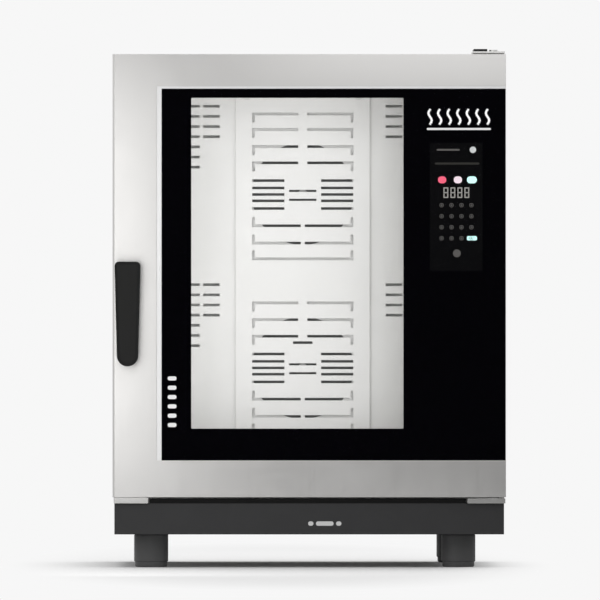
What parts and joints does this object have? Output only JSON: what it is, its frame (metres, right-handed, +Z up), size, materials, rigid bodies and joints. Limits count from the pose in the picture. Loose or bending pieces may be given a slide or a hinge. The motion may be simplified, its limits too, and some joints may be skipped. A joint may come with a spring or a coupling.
{
  "type": "combi steamer oven",
  "caption": "Combi steamer oven: steel framed black glass door with turn handle, tray racks, fan baffle and fans, dark base on leveling feet.",
  "frame": {"origin": "centre of the whole part's box, on the floor under the feet", "axes": "+Z up, +X to the right of a person facing the door, +Y from the door to the rear"},
  "size_m": [0.76, 0.8, 1.002],
  "materials": {
    "brushed_steel": "satin brushed stainless steel",
    "panel_steel": "brushed stainless steel sheet",
    "cavity_steel": "bright stainless steel",
    "trim_steel": "polished stainless steel",
    "bracket_steel": "stainless steel plate",
    "dark_steel": "heat tinted steel",
    "heater_steel": "sheathed heater tube",
    "base_paint": "dark grey powder coat",
    "foot_plastic": "dark grey plastic",
    "handle_plastic": "charcoal plastic",
    "black_plastic": "black plastic",
    "outer_glass": "clear toughened glass",
    "inner_glass": "clear toughened glass",
    "black_print": "black enamel behind the glass",
    "touch_black": "black touch foil",
    "core_foam": "insulating core",
    "seal_rubber": "silicone rubber",
    "mineral_wool": "mineral wool",
    "lamp_white": "white diffuser",
    "brass": "brass",
    "motor_grey": "cast motor case",
    "board_green": "circuit board"
  },
  "bodies": {
    "root": {"base_frame": "base_paint", "drip_channel": "panel_steel", "chassis_floor": "panel_steel", "left_panel": "panel_steel", "right_panel": "panel_steel", "top_cover": "panel_steel", "rear_panel": "panel_steel", "front_fascia": "panel_steel", "rear_bulkhead": "panel_steel", "cavity_shell": "cavity_steel", "cavity_insulation": "mineral_wool", "door_gasket": "seal_rubber", "fan_baffle": "cavity_steel", "outlet_wings": "cavity_steel", "inlet_plate": "cavity_steel", "baffle_fasteners": "bracket_steel", "ring_heaters": "heater_steel", "fan_motors": "motor_grey", "tray_rack_left": "cavity_steel", "tray_rack_right": "cavity_steel", "rack_studs": "bracket_steel", "drain_strainer": "cavity_steel", "drain_pipe": "bracket_steel", "steam_injector": "brass", "water_valve": "brass", "flues": "bracket_steel", "power_board": "board_green", "cable_gland": "black_plastic", "earth_stud": "brass", "cooling_fan_housing": "black_plastic", "upper_hinge_bracket": "bracket_steel", "lower_hinge_bracket": "bracket_steel", "hinge_pins": "bracket_steel", "hinge_cap": "black_plastic", "door_rest_plate": "bracket_steel", "latch_keeper": "bracket_steel", "panel_screws": "bracket_steel"},
    "door": {"door_skin": "brushed_steel", "glass_trim": "trim_steel", "outer_glass": "outer_glass", "glass_mask": "black_print", "door_core": "core_foam", "inner_frame": "panel_steel", "inner_glass": "inner_glass", "glass_clips": "bracket_steel", "lamp_strips": "lamp_white", "touch_panel": "touch_black", "hinge_bushes": "black_plastic", "latch_housing": "bracket_steel"},
    "handle": {"handle_grip": "handle_plastic", "handle_spindle": "bracket_steel"},
    "fan_upper": {"fan_shaft_upper": "bracket_steel", "fan_wheel_upper": "dark_steel"},
    "fan_lower": {"fan_shaft_lower": "bracket_steel", "fan_wheel_lower": "dark_steel"},
    "cooler_rotor": {"cooling_fan_rotor": "black_plastic"},
    "front_left_foot": {"foot_front_left": "foot_plastic"},
    "front_right_foot": {"foot_front_right": "foot_plastic"},
    "rear_left_foot": {"foot_rear_left": "foot_plastic"},
    "rear_right_foot": {"foot_rear_right": "foot_plastic"}
  },
  "joints": [
    {"name": "door_hinge", "type": "hinge", "parent": "root", "child": "door", "pos_m": [0.356, -0.341, 0.564], "axis": [0, 0, 1], "range_deg": [0, 120]},
    {"name": "handle_turn", "type": "hinge", "parent": "door", "child": "handle", "pos_m": [-0.351, -0.355, 0.557], "axis": [0, 1, 0], "range_deg": [-60, 60], "stiffness_Nm_per_rad": 0.8},
    {"name": "upper_fan_spin", "type": "hinge", "parent": "root", "child": "fan_upper", "pos_m": [-0.009, 0.1, 0.725], "axis": [0, 1, 0], "continuous": true},
    {"name": "lower_fan_spin", "type": "hinge", "parent": "root", "child": "fan_lower", "pos_m": [-0.009, 0.1, 0.384], "axis": [0, 1, 0], "continuous": true},
    {"name": "cooler_spin", "type": "hinge", "parent": "root", "child": "cooler_rotor", "pos_m": [-0.23, 0.33, 0.8765], "axis": [0, 1, 0], "continuous": true},
    {"name": "front_left_foot_level", "type": "slide", "parent": "root", "child": "front_left_foot", "axis": [0, 0, -1], "range_m": [0, 0.02]},
    {"name": "front_right_foot_level", "type": "slide", "parent": "root", "child": "front_right_foot", "axis": [0, 0, -1], "range_m": [0, 0.02]},
    {"name": "rear_left_foot_level", "type": "slide", "parent": "root", "child": "rear_left_foot", "axis": [0, 0, -1], "range_m": [0, 0.02]},
    {"name": "rear_right_foot_level", "type": "slide", "parent": "root", "child": "rear_right_foot", "axis": [0, 0, -1], "range_m": [0, 0.02]}
  ]
}
